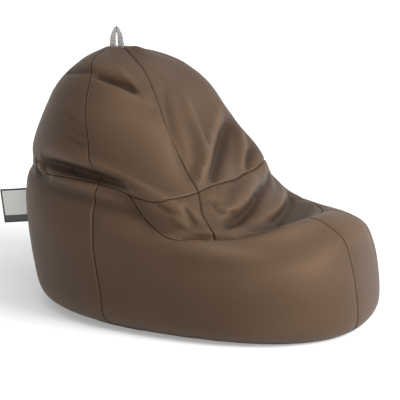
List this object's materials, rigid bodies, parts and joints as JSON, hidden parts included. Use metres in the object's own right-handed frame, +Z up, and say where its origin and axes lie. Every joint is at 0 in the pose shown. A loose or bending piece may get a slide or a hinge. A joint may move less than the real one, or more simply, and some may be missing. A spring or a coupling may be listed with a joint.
{
  "type": "bean bag chair",
  "caption": "Low lounge bean bag chair: a sewn, zipped fabric cover with a dome backrest and a wrap-round base, filled with beads, with a carry loop on top and a label in a rear seam.",
  "frame": {"origin": "on the floor under the middle of the base, on the flat underside", "axes": "+Z up, -Y the way the sitter faces, +X the sitter's left"},
  "size_m": [0.8552, 1.3016, 0.926],
  "materials": {
    "cover_fabric": "satin coated polyester",
    "zip_tape": "matt woven tape",
    "zip_coil": "satin nylon coil",
    "zip_metal": "satin",
    "liner_fabric": "matt non-woven",
    "beads": "matt expanded polystyrene",
    "webbing": "matt woven webbing",
    "label": "matt woven label"
  },
  "bodies": {
    "bag": {"base_front": "cover_fabric", "base_side_left": "cover_fabric", "base_side_right": "cover_fabric", "base_rear_left": "cover_fabric", "base_rear_right": "cover_fabric", "seat_panel": "cover_fabric", "gusset_left": "cover_fabric", "gusset_right": "cover_fabric", "backrest_panel": "cover_fabric", "dome_side_left": "cover_fabric", "dome_side_right": "cover_fabric", "dome_rear": "cover_fabric", "underside_front": "cover_fabric", "underside_rear": "cover_fabric", "cover_zip_tape_front": "zip_tape", "cover_zip_tape_rear": "zip_tape", "cover_zip_coil": "zip_coil", "cover_zip_stop_right": "zip_metal", "cover_zip_stop_left": "zip_metal", "liner": "liner_fabric", "liner_zip_tape_front": "zip_tape", "liner_zip_tape_rear": "zip_tape", "liner_zip_coil": "zip_coil", "liner_zip_stop_right": "zip_metal", "liner_zip_stop_left": "zip_metal", "bead_fill": "beads", "carry_loop_ends": "webbing"},
    "cover_slider": {"cover_zip_slider": "zip_metal"},
    "liner_slider": {"liner_zip_slider": "zip_metal"},
    "loop": {"carry_loop": "webbing"},
    "label": {"side_label": "label"}
  },
  "joints": [
    {"name": "cover_zip_slide", "type": "slide", "parent": "bag", "child": "cover_slider", "axis": [1, 0, 0], "range_m": [0, 0.418]},
    {"name": "liner_zip_slide", "type": "slide", "parent": "bag", "child": "liner_slider", "axis": [1, 0, 0], "range_m": [0, 0.278]},
    {"name": "carry_loop_fold", "type": "hinge", "parent": "bag", "child": "loop", "pos_m": [0, 0.335, 0.86], "axis": [0, 1, 0], "range_deg": [-75, 75], "stiffness_Nm_per_rad": 0.02},
    {"name": "label_fold", "type": "hinge", "parent": "bag", "child": "label", "pos_m": [-0.1276, 0.61241, 0.31015], "axis": [-0.0615, 0.0847, 0.9945], "range_deg": [-70, 70], "stiffness_Nm_per_rad": 0.02}
  ]
}
